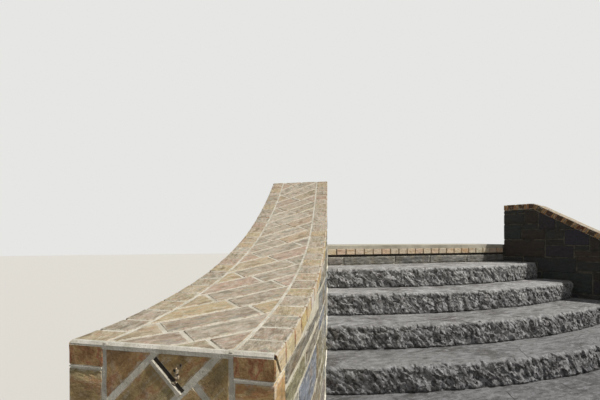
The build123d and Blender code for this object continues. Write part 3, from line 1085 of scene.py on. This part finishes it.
def end_bed(side, sizes):
    """Mortar behind and between the bricks of a wall's end."""
    edge = 0.005
    half_joint = 0.0063
    heights = (0, WALL_END_TOP - 0.0125)
    made = bed(f"{side}_end_mortar", side, (edge, WALL_WIDTH - edge), heights,
               -END_DEPTH, -sizes.mortar_set_back, on_end, 12)
    finish_piece(made, "end_mortar")
    for name, offset in (("inner", BORDER), ("outer", WALL_WIDTH - BORDER)):
        made = bed(f"{side}_end_{name}_joint", side, (offset - half_joint, offset + half_joint),
                   heights, -0.012, -0.0028, on_end, 2)
        finish_piece(made, "joint_mortar")


def random_courses(rng, low, high):
    """Levels of the courses of a stone face, from one height to another."""
    levels = [low]
    while levels[-1] < high:
        levels.append(levels[-1] + rng.choice((0.105, 0.13, 0.155, 0.18, 0.21)))
    return levels


def course_stones(rng, low, high, start, end):
    """Stones of one course, some of them split into two or three, as (left, bottom, right,
    top, tint) with half a joint all round."""
    stones = []
    left = start
    tall = high - low
    while left < end - 0.04:
        right = min(left + rng.uniform(0.20, 0.52), end)
        if end - right < 0.12:
            right = end
        if tall > 0.14 and rng.random() < 0.42:
            middle = low + tall * rng.choice((0.35, 0.5, 0.62))
            stones.append((left, low, right, middle, rng.random()))
            part = left + (right - left) * rng.choice((0.4, 0.5, 0.6, 1.0, 1.0))
            stones.append((left, middle, part, high, rng.random()))
            if part < right:
                stones.append((part, middle, right, high, rng.random()))
        else:
            stones.append((left, low, right, high, rng.random()))
        left = right
    return stones


# Stones read from the photograph, as (from, bottom, to, top, tint) along the inner face
RIGHT_STONES = [
    (-0.05, 1.605, 0.213, 1.72, 0.10), (-0.05, 1.485, 0.213, 1.605, 0.05),
    (0.213, 1.485, 0.341, 1.72, 0.30), (0.182, 1.420, 0.341, 1.485, 0.05),
    (-0.05, 1.305, 0.182, 1.485, 0.50), (0.182, 1.305, 0.406, 1.420, 0.30),
    (-0.05, 1.108, 0.406, 1.305, 0.30), (0.341, 1.415, 0.500, 1.72, 0.70),
    (0.500, 1.415, 0.690, 1.60, 0.10), (0.406, 1.312, 0.572, 1.415, 0.10),
    (0.572, 1.246, 0.780, 1.415, 0.90), (0.690, 1.415, 0.900, 1.55, 0.75),
    (0.406, 1.246, 0.572, 1.312, 0.35), (0.406, 1.116, 0.656, 1.246, 0.70),
    (0.656, 1.190, 0.780, 1.246, 0.10), (0.656, 1.136, 0.870, 1.190, 0.96),
    (0.780, 1.190, 0.980, 1.360, 0.30), (0.870, 1.136, 0.980, 1.190, 0.10),
    (0.780, 1.360, 0.980, 1.500, 0.05), (-0.05, 0.955, 0.200, 1.108, 0.05),
    (0.200, 0.955, 0.676, 1.116, 0.55), (0.676, 1.082, 0.950, 1.136, 0.96),
    (0.676, 0.980, 0.950, 1.082, 0.10), (-0.05, 0.750, 0.376, 0.955, 0.50),
    (0.376, 0.750, 0.803, 0.965, 0.50), (0.803, 0.895, 1.000, 0.980, 0.30),
    (0.803, 0.750, 1.000, 0.895, 0.70),
]
LEFT_STONES = [
    (1.750, 0.935, 2.500, 1.000, 0.70), (2.180, 0.862, 2.500, 0.935, 0.40),
    (1.950, 0.862, 2.180, 0.935, 0.85), (1.860, 0.690, 2.310, 0.862, 0.20),
    (2.310, 0.690, 2.500, 0.862, 0.05), (2.020, 0.530, 2.500, 0.690, 0.94),
    (1.660, 0.530, 2.020, 0.690, 0.60),
]
# Levels of the courses round them. On the right the random stones start beyond those that
# were read, and on the left they end at them
RIGHT_LEVELS = (0.0, 0.20, 0.37, 0.55, 0.75, 0.895, 0.98, 1.136, 1.25, 1.36, 1.50)
RIGHT_FROM = {0.75: 1.0, 0.895: 1.0, 0.98: 0.95, 1.136: 0.98, 1.25: 0.98, 1.36: 0.98}
LEFT_LEVELS = (0.0, 0.18, 0.36, 0.53, 0.69, 0.862, 0.935, 1.06, 1.24, 1.40, 1.53, 1.70, 1.90)
LEFT_UNTIL = {0.53: 1.66, 0.69: 1.86, 0.862: 1.95, 0.935: 1.75}
BEFORE_BACK = -0.05


def stones_of(rng, side, face, length):
    """All the stones of a long face of a wall."""
    stones = []
    if face == "outer":
        levels = random_courses(rng, 0.0, WALL_TOP)
        for low, high in zip(levels, levels[1:]):
            stones += course_stones(rng, low, high, -0.30 - rng.uniform(0, 0.2), length)
        return stones
    known = RIGHT_STONES if side == "right" else LEFT_STONES
    levels = RIGHT_LEVELS if side == "right" else LEFT_LEVELS
    stones += [stone[:2] + (min(stone[2], length),) + stone[3:] for stone in known]
    for low, high in zip(levels, levels[1:]):
        if side == "right":
            start, end = RIGHT_FROM.get(low, BEFORE_BACK), length
        else:
            start, end = BEFORE_BACK - rng.uniform(0, 0.1), LEFT_UNTIL.get(low, length)
        stones += course_stones(rng, low, high, start, end)
    return stones


# Sizes of the stones that the others are drawn out from
STONE_BASES = ((0.46, 0.17), (0.34, 0.12), (0.26, 0.17), (0.22, 0.09), (0.14, 0.08), (0.40, 0.07))


def nearest_base(size):
    """Number of the base stone that needs the least drawing out to a size."""
    misfits = [sum(abs(math.log(own / one)) for own, one in zip(size, base)) for base in STONE_BASES]
    return misfits.index(min(misfits))


def face_stones(side, face, sizes):
    """Squared stones over a long face of a wall, cut off under the sweep of the cap."""
    rng = random.Random(sizes.seed + 40 + 2 * (side == "left") + (face == "outer"))
    offset = 0.0 if face == "inner" else WALL_WIDTH
    length = WALL_LENGTH - END_DEPTH
    deep = VENEER - 0.010
    joint = 0.013 if side == "left" else 0.009
    under_bricks = CAP_THICKNESS + 0.008
    blanks = {n: blank(f"stone_{n}", (*base, deep), 0.005, 0.034)
              for n, base in enumerate(STONE_BASES)}
    whole, trimmed = [], []
    for left, low, right, high, tint in stones_of(rng, side, face, length):
        ends = np.array([left, right])
        under = cap_top(*plan_point(ends, np.full(2, offset)), side) - under_bricks
        if low > under.max() - 0.02:
            continue
        size = (right - left - joint, high - low - joint)
        key = nearest_base(size)
        drawn = [own / base for own, base in zip(size, STONE_BASES[key])]
        depth = -deep / 2 - rng.uniform(0.0005, 0.002)
        middle = Matrix.Translation(((left + right) / 2, (low + high) / 2, depth))
        matrix = lean(rng, middle, X=0.018, Y=0.010, Z=0.006) @ Matrix.Diagonal((*drawn, 1, 1))
        if high < under.min():
            whole.append((key, matrix, tint))
        else:
            trimmed.append((key, matrix, tint, ends, under))
    name = f"{side}_{face}_stones"
    parts = [lay(name, blanks, whole, rng)]
    for key, matrix, tint, ends, under in trimmed:
        part = lay("cut_stone", blanks, [(key, matrix, tint)], rng)
        rise = (under[1] - under[0]) / (ends[1] - ends[0])
        cut(part, [((float(ends[0]), float(under[0]), 0), (-rise, 1, 0))], fill=True)
        parts.append(part)
    stones = joined(name, parts)
    cut(stones, [((length - 0.002, 0, 0), (1, 0, 0))], fill=True)
    roughen(stones, "CLOUDS", 0.045, 0.0045, middle=0.75)
    roughen(stones, "VORONOI", 0.030, 0.0028, middle=0.70)
    cut(stones, ABOVE_GROUND, fill=True)
    settle(stones, on_inner_face if face == "inner" else on_outer_face, side)
    # On the right wall the stones take a darker copy of the stone colours, painted shade.
    finish_piece(stones, f"{side}_stone", "veneer_stone", f"{side}_{face}_stone_face")
    drop(blanks)


def face_bed(side, face, sizes):
    """Mortar between the stones of a long face."""
    back = sizes.left_set_back if side == "left" else sizes.right_set_back
    near, far = (back, VENEER) if face == "inner" else (WALL_WIDTH - back, WALL_WIDTH - VENEER)

    def under_cap(co, which):
        x, y = plan_point(co[:, 0], co[:, 1])
        top = cap_top(x, y, which) - CAP_THICKNESS
        return np.stack([x, y, co[:, 2] * top], 1)

    made = bed(f"{side}_{face}_mortar", side, (-MORTAR_BEHIND, WALL_LENGTH - END_DEPTH), (near, far),
               0, 1, under_cap, 70)
    # On the right wall this mortar is a darker copy, painted shade.
    finish_piece(made, f"{side}_mortar")


def facets(across, up, size, seed, tilt=0.0, stretch=1.0):
    """Height, about -1 to 1, of a face split into flat chips of a given size, each chip
    with a slope of its own. The chips may be tilted and drawn out."""
    turned = (across * math.cos(tilt) + up * math.sin(tilt)) / (size * stretch)
    other = (up * math.cos(tilt) - across * math.sin(tilt)) / size
    table = np.random.RandomState(seed).rand(64, 64, 5)
    cell_x, cell_y = np.floor(turned).astype(int), np.floor(other).astype(int)
    nearest = np.full(turned.shape, 9.0)
    height = np.zeros_like(turned)
    for dx in (-1, 0, 1):
        for dy in (-1, 0, 1):
            chip = table[(cell_x + dx) % 64, (cell_y + dy) % 64]
            off_x = turned - (cell_x + dx + chip[:, 0])
            off_y = other - (cell_y + dy + chip[:, 1])
            gap = np.hypot(off_x, off_y)
            here = chip[:, 4] - 0.5 + (chip[:, 2] - 0.5) * 2 * off_x + (chip[:, 3] - 0.5) * 2 * off_y
            height = np.where(gap < nearest, here, height)
            nearest = np.minimum(gap, nearest)
    return height


def slab_section(depth):
    """Section of a slab, from the top's back edge round the front to the underside and
    back again, as rows of (distance back from the front, height below the top, share of
    the rock relief)."""
    nosing = 0.024
    round_over = [(nosing * (1 - math.sin(a)), nosing * (1 - math.cos(a)), 0.3 + a / 2)
                  for a in np.radians((8, 26, 44, 62, 80))]
    return np.array([
        (depth, 0.0, 0.0),
        *[(d, 0.0, 0.0) for d in np.linspace(depth - 0.03, 0.070, 12)],
        (0.052, 0.0, 0.1), (0.038, 0.0, 0.25),
        *round_over,
        *[(0.0, z, 1.0) for z in np.linspace(0.027, RISER - 0.014, 23)],
        (0.0015, RISER - 0.007, 0.8), (0.006, RISER, 0.3), (0.022, RISER, 0.0),
        (depth * 0.6, RISER, 0.0), (depth, RISER, 0.0), (depth, RISER / 2, 0.0),
        (depth, 0.0, 0.0),
    ])


def slab(number, sizes):
    """A slab of the flight: a grid wrapped round the slab's section and along its bow.
    Its front is pitched rock, which no texture of the Displace modifier gives, so its
    chips are worked out for each vertex."""
    courses_above = STEPS - number
    front = BOW_RADIUS + courses_above * TREAD
    depth = TREAD + SLAB_OVERLAP if courses_above else TOP_TREAD
    top = number * RISER
    into_wall = 0.009
    columns = 560
    section = slab_section(depth)
    rows = len(section)
    bpy.ops.object.select_all(action="DESELECT")
    bpy.ops.mesh.primitive_grid_add(x_subdivisions=columns, y_subdivisions=rows - 1, size=1)
    made = bpy.context.object
    made.name = made.data.name = f"slab_{number}"
    co = corners(made)
    along = co[:, 0] * 2
    row = np.rint((0.5 - co[:, 1]) * (rows - 1)).astype(int)
    back, below, share = section[row].T

    s = np.linspace(-0.1, WALL_LENGTH, 500)
    face_x, face_y = plan_point(s, np.full_like(s, into_wall))

    def line(x, distance):
        if courses_above:
            return BOW_Y - np.sqrt((front - distance) ** 2 - x ** 2)
        edge = BOW_Y - np.sqrt(front ** 2 - x ** 2)
        return edge + (BACK_LINE - 0.0003 - edge) * distance / depth

    reach = np.full_like(back, HALF_OPENING)
    for _ in range(30):
        reach = np.interp(-line(reach, back), -face_y, face_x)
    x = along * reach
    y = line(x, back)

    run = np.concatenate([[0], np.cumsum(np.hypot(*np.diff(section[:, :2], axis=0).T))])[row]
    seed = number * 11 + sizes.seed
    slant = math.radians(44)
    rock = (0.42 * facets(x, run, 0.120, seed, slant, 1.5)
            + 0.60 * facets(x, run, 0.044, seed + 1, slant, 1.7)
            + 0.26 * facets(x, run, 0.021, seed + 2, slant, 1.8))
    rock = (rock - 0.06) * sizes.rock_relief * share
    chipped = facets(x, run * 0.6, 0.070, seed + 3, 0.3, 1.5)
    chipped = np.clip(chipped - 0.05, 0, 0.5) * 0.030
    edge_runs = [depth - 0.036, depth - 0.006, depth + 0.020, depth + 0.055]
    at_edge = np.interp(run, edge_runs, [0, 1, 1, 0])
    dip = (facets(x, y, 0.30, seed + 4, 0.1, 2.2) * 0.0024
           + facets(x, y, 0.12, seed + 5, -0.1, 2.5) * 0.0014)
    level = np.where((below == 0.0) & (back > 0.05) & (back < depth - 0.01), 1.0, 0.0)
    to_bow = np.hypot(x, BOW_Y - y)
    push = rock * np.clip(below / 0.03, 0.25, 1) - chipped * at_edge * 0.7
    x = x + x / to_bow * push * 0.25
    y = y - (BOW_Y - y) / to_bow * push
    z = top - below + dip * level - chipped * at_edge * np.clip(1 - below / 0.06, 0, 1) * 0.50
    z = np.where((below < 0.04) & (share > 0), z + np.minimum(rock, 0.0) * 0.5, z)
    set_corners(made, np.stack([x, y, z], 1))

    with edited(made):
        bpy.ops.mesh.remove_doubles(threshold=0.00002)
        bpy.ops.mesh.select_all(action="DESELECT")
        bpy.ops.mesh.select_mode(type="EDGE")
        bpy.ops.mesh.select_non_manifold(extend=False, use_wire=False, use_multi_face=False,
                                         use_non_contiguous=False, use_verts=False)
        bpy.ops.mesh.fill_holes(sides=0)
        bpy.ops.mesh.select_mode(type="VERT")
    face_out(made)
    bpy.ops.object.shade_smooth_by_angle(angle=math.radians(24))
    finish_piece(made, "slab_stone", "step_stone", f"step_{number}")


def step_at_wall():
    """Line of the flight and the landing's edge along a wall's face, from the ground up, as
    (distance from the back line, height) points."""
    s = np.linspace(0, WALL_LENGTH, 2000)
    x, y = plan_point(s, np.zeros_like(s))
    away = np.hypot(x, y - BOW_Y)
    points = []
    for number in range(1, STEPS + 1):
        at = float(np.interp(BOW_RADIUS + (STEPS - number) * TREAD, away, s))
        points += [(at, (number - 1) * RISER), (at, number * RISER)]
    return points + [(0.0, TREADS_TOP), (0.0, COURSE_TOP + 0.034)]


def mortar_bead(side):
    """Bead of mortar that seals the ends of the slabs to the wall's face."""
    rng = np.random.RandomState(3 + (side == "left"))
    path = np.array(step_at_wall())
    runs = np.hypot(*np.diff(path, axis=0).T)
    # Each run's outward side: in front of a riser, above a tread
    lifts = np.array([(1.0, 0.0) if n % 2 == 0 else (0.0, 1.0) for n in range(len(runs))])
    height = 0.006
    lifts = np.concatenate([[(1.0, 0.0)], lifts[:-1] + lifts[1:], [(0.0, 1.0)]])
    outer = path + height * lifts
    marks = np.concatenate([[0], np.cumsum(runs)])
    made = cube(f"{side}_mortar_bead", 0.5)
    corner = marks[1:-1] / marks[-1]
    between = np.linspace(0, 1, 160)[1:-1]
    stations = sorted(set(corner) | {b for b in between if np.abs(corner - b).min() > 0.002})
    cut(made, [((0, 0.5, 0), (0, 1, 0))] + [((float(b), 0, 0), (1, 0, 0)) for b in stations])
    co = corners(made)
    mark = co[:, 0] * marks[-1]
    foot = np.stack([np.interp(mark, marks, path[:, n]) for n in (0, 1)], 1)
    crest = np.stack([np.interp(mark, marks, outer[:, n]) for n in (0, 1)], 1)
    # Full height at the wall, less at the middle and hardly any at the outer edge
    slope = np.array((1.0, 0.62, 0.12))[np.rint(co[:, 1] * 2).astype(int)]
    wobble = 1 + 0.45 * (np.interp(mark, np.linspace(0, marks[-1], 120), rng.rand(120)) - 0.5)
    up = np.where(co[:, 2] > 0.5, slope * wobble, -0.35)
    place = foot + (crest - foot) * up[:, None]
    offset = 0.008 - co[:, 1] * (0.006 + height) * wobble
    set_corners(made, np.stack([place[:, 0], np.maximum(place[:, 1], 0.0005), -offset], 1))
    settle(made, on_inner_face, side, 0.006)
    # On the right the bead takes the darker mortar, painted shade.
    finish_piece(made, "end_mortar" if side == "left" else "right_mortar")


def put_up(obj, reliefs, finish, slot="", *nodes):
    """Roughens and finishes a piece that stands in its place already."""
    for relief in reliefs:
        roughen(obj, *relief)
    face_out(obj)
    finish_piece(obj, finish, slot, *nodes)


# Joints between the stones of the band, from one wall to the other
BAND_JOINTS = (-HALF_OPENING, -0.957, -0.362, 0.080, 0.585, HALF_OPENING)
# Width of the landing's courses, a little less than the opening
LANDING_WIDTH = 2 * HALF_OPENING - 0.001


def landing_band(rng):
    """Stones of the band under the landing's brick course."""
    depth = 0.112
    blanks, places = {}, []
    for n, (left, right) in enumerate(zip(BAND_JOINTS, BAND_JOINTS[1:])):
        size = (right - left - 0.011, BAND_HEIGHT - 0.020, depth)
        blanks[n] = blank(f"band_{n}", size, 0.006, 0.020)
        blanks[n].data.transform(Matrix.Rotation(math.radians(90), 4, "X"))
        middle = ((left + right) / 2, BACK_LINE + 0.002 + depth / 2 + rng.uniform(0, 0.003),
                  TREADS_TOP + BAND_HEIGHT / 2 - 0.006)
        place = lean(rng, Matrix.Translation(middle), Z=0.004)
        places.append((n, place, rng.random()))
    band = lay("landing_band_stones", blanks, places, rng)
    drop(blanks)
    put_up(band, [("CLOUDS", 0.05, 0.014, 0.60), ("VORONOI", 0.024, 0.008, 0.45)],
           "band_stone", "band_stone", "landing_stone_band")


def landing_course(rng):
    """Bricks on edge across the landing, about 100 mm apart."""
    count = 22
    pitch = LANDING_WIDTH / count
    deep = 0.286
    tall = COURSE_HEIGHT - 0.011
    blanks = {"course": blank("course", (pitch - 0.012, deep, tall), 0.0025, 0.050)}
    places = []
    for n in range(count):
        middle = ((n - (count - 1) / 2) * pitch,
                  BACK_LINE + 0.007 + deep / 2 + rng.uniform(0, 0.002),
                  COURSE_TOP - 0.001 - tall / 2)
        place = lean(rng, Matrix.Translation(middle), Z=0.006)
        places.append(("course", place, rng.random()))
    course = lay("landing_course_bricks", blanks, places, rng)
    drop(blanks)
    put_up(course, [("CLOUDS", 0.020, 0.0030)],
           "course_clay", "course_brick", "landing_brick_course")


def landing_mortar():
    """Mortar of the band, and the raked joints under and between the bricks, dark with painted
    shade.
    """
    between = BAND_TOP - 0.016
    for name, near, far, low, high, finish in (
            ("landing_band_mortar", 0.014, 0.119, TREADS_TOP, between, "end_mortar"),
            ("landing_course_mortar", 0.026, 0.291, between, COURSE_TOP - 0.001, "course_mortar")):
        y, back = BACK_LINE + near, BACK_LINE + far
        made = cube(name)
        made.scale = (LANDING_WIDTH, back - y, high - low)
        made.location = (0, (y + back) / 2, (low + high) / 2)
        bpy.ops.object.transform_apply()
        cut(made, [((x * 0.05, 0, 0), (1, 0, 0)) for x in range(-22, 23)])
        put_up(made, [("CLOUDS", 0.03, 0.0025)], finish)


def landing_closers(rng):
    """Mortar that closes the corner between the landing and each wall."""
    top = COURSE_TOP + 0.038
    shapes = {"closer": blank("closer", (0.022, 0.040, top - TREADS_TOP), 0.003, 0.03)}
    for side, way in (("left", -1), ("right", 1)):
        middle = (way * (HALF_OPENING + 0.0085), BACK_LINE + 0.020, (top + TREADS_TOP) / 2)
        place = Matrix.Translation(middle)
        made = lay(f"{side}_landing_closer", shapes, [("closer", place, 0.5)], rng)
        # On the right the closer takes the darker mortar, painted shade.
        put_up(made, [("CLOUDS", 0.02, 0.002)], f"{side}_mortar")
    drop(shapes)


def landing(sizes):
    """Stone band, brick course, their mortar and the finishes of the concrete."""
    rng = random.Random(sizes.seed + 60)
    landing_band(rng)
    landing_course(rng)
    landing_mortar()
    landing_closers(rng)
    for name, finish in (("landing_slab", "landing_concrete"), ("landing_core", "core_concrete"),
                         ("step_core", "core_concrete"), ("left_wall_core", "core_concrete"),
                         ("right_wall_core", "core_concrete")):
        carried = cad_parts[name]
        carried.data.materials.clear()
        carried.data.materials.append(Masonry.get(finish))


def stage():
    """Pale floor and background, a high sun from the front right and a soft fill."""
    bpy.ops.object.select_all(action="DESELECT")
    bpy.ops.mesh.primitive_plane_add(size=60, location=(0, 0, -0.002))
    floor = bpy.context.object
    floor.name = "floor"
    made, tree, shader = material("studio_floor")
    # Pale to the camera only, so that it throws less light on the steps
    to_camera = node(tree, "LightPath")
    pale = hexed(bpy.context.scene.steps_colours.floor)
    colour = coats(tree, "#8c8983", (to_camera, 0.0, 1.0, 1.0, pale))
    floor.data.materials.append(finished(made, shader, colour, 0.95))

    world = bpy.data.worlds.new("studio")
    bpy.context.scene.world = world
    world.use_nodes = True
    tree = world.node_tree
    tree.nodes.clear()
    seen = node(tree, "LightPath").node.outputs
    either = node(tree, "Math", {0: seen["Is Camera Ray"], 1: seen["Is Glossy Ray"]},
                  operation="MAXIMUM")
    either = node(tree, "Math", {0: either, 1: seen["Is Transmission Ray"]}, operation="MAXIMUM")
    plain = node(tree, "Background", {"Color": "#eef1f6", "Strength": 0.19})
    pale = node(tree, "Background", {"Color": "#e6e6e4", "Strength": 1.0})
    both = node(tree, "MixShader", {0: either, 1: plain, 2: pale})
    tree.links.new(both, tree.nodes.new("ShaderNodeOutputWorld").inputs["Surface"])

    lamp = bpy.data.objects.new("key_lamp", bpy.data.lights.new("key_lamp", "SUN"))
    lamp.data.energy = 3.30
    lamp.data.angle = math.radians(0.8)
    lamp.data.color = (1.0, 0.97, 0.92)
    bpy.context.scene.collection.objects.link(lamp)
    lamp.rotation_mode = "QUATERNION"
    lamp.rotation_quaternion = Vector((-0.545, 0.37, -0.755)).to_track_quat("-Z", "Y")

    camera = bpy.data.objects.new("camera", bpy.data.cameras.new("camera"))
    camera.data.lens = 20.03
    camera.data.sensor_width = 36.0
    camera.data.shift_y = 0.0658
    camera.location = (-2.376, -2.189, 1.308)
    camera.rotation_euler = (math.radians(90), 0, -0.304)
    bpy.context.scene.collection.objects.link(camera)
    bpy.context.scene.camera = camera
    bpy.context.scene.view_settings.view_transform = "Standard"


class STEPS_OT_slabs(bpy.types.Operator):
    """Makes the rock-faced slabs of the flight"""
    bl_idname = "steps.slabs"
    bl_label = "Slabs"

    def execute(self, context):
        for number in range(1, STEPS + 1):
            slab(number, context.scene.steps_sizes)
        for side in ("left", "right"):
            mortar_bead(side)
        return {"FINISHED"}


class STEPS_OT_landing(bpy.types.Operator):
    """Makes the stone band, the brick course and the floor of the landing"""
    bl_idname = "steps.landing"
    bl_label = "Landing"

    def execute(self, context):
        landing(context.scene.steps_sizes)
        return {"FINISHED"}


class STEPS_OT_caps(bpy.types.Operator):
    """Lays the bricks of both caps in their mortar"""
    bl_idname = "steps.caps"
    bl_label = "Caps"

    def execute(self, context):
        for side in ("left", "right"):
            cap_bed(side, context.scene.steps_sizes)
            cap_bricks(side, context.scene.steps_sizes)
        return {"FINISHED"}


class STEPS_OT_ends(bpy.types.Operator):
    """Lays the brick ends of both walls"""
    bl_idname = "steps.ends"
    bl_label = "Ends"

    def execute(self, context):
        for side in ("left", "right"):
            end_bed(side, context.scene.steps_sizes)
            end_bricks(side, context.scene.steps_sizes)
        return {"FINISHED"}


class STEPS_OT_stones(bpy.types.Operator):
    """Lays the stone faces of both walls"""
    bl_idname = "steps.stones"
    bl_label = "Stone faces"

    def execute(self, context):
        for side in ("left", "right"):
            for face in ("inner", "outer"):
                face_bed(side, face, context.scene.steps_sizes)
                face_stones(side, face, context.scene.steps_sizes)
        return {"FINISHED"}


class STEPS_OT_stage(bpy.types.Operator):
    """Sets up the floor, the lamps and the camera"""
    bl_idname = "steps.stage"
    bl_label = "Stage"

    def execute(self, context):
        stage()
        return {"FINISHED"}


class STEPS_PT_panel(bpy.types.Panel):
    """Sizes, colours and pieces of the steps"""
    bl_label = "Entrance steps"
    bl_idname = "STEPS_PT_panel"
    bl_space_type = "VIEW_3D"
    bl_region_type = "UI"
    bl_category = "Steps"

    def draw(self, context):
        for group in (context.scene.steps_sizes, context.scene.steps_colours):
            box = self.layout.box()
            for name in group.bl_rna.properties.keys():
                if name not in ("rna_type", "name"):
                    box.prop(group, name)
        for operator in OPERATORS:
            self.layout.operator(operator.bl_idname)


OPERATORS = (STEPS_OT_slabs, STEPS_OT_landing, STEPS_OT_caps, STEPS_OT_ends, STEPS_OT_stones,
             STEPS_OT_stage)
CLASSES = (StepsSizes, StepsColours, *OPERATORS, STEPS_PT_panel)


def register():
    for one in CLASSES:
        bpy.utils.register_class(one)
    bpy.types.Scene.steps_sizes = PointerProperty(type=StepsSizes)
    bpy.types.Scene.steps_colours = PointerProperty(type=StepsColours)


def unregister():
    del bpy.types.Scene.steps_colours
    del bpy.types.Scene.steps_sizes
    for one in reversed(CLASSES):
        bpy.utils.unregister_class(one)


def main():
    """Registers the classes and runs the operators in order."""
    register()
    bpy.ops.steps.slabs()
    bpy.ops.steps.landing()
    bpy.ops.steps.caps()
    bpy.ops.steps.ends()
    bpy.ops.steps.stones()
    bpy.ops.steps.stage()


if __name__ == "__main__":
    main()
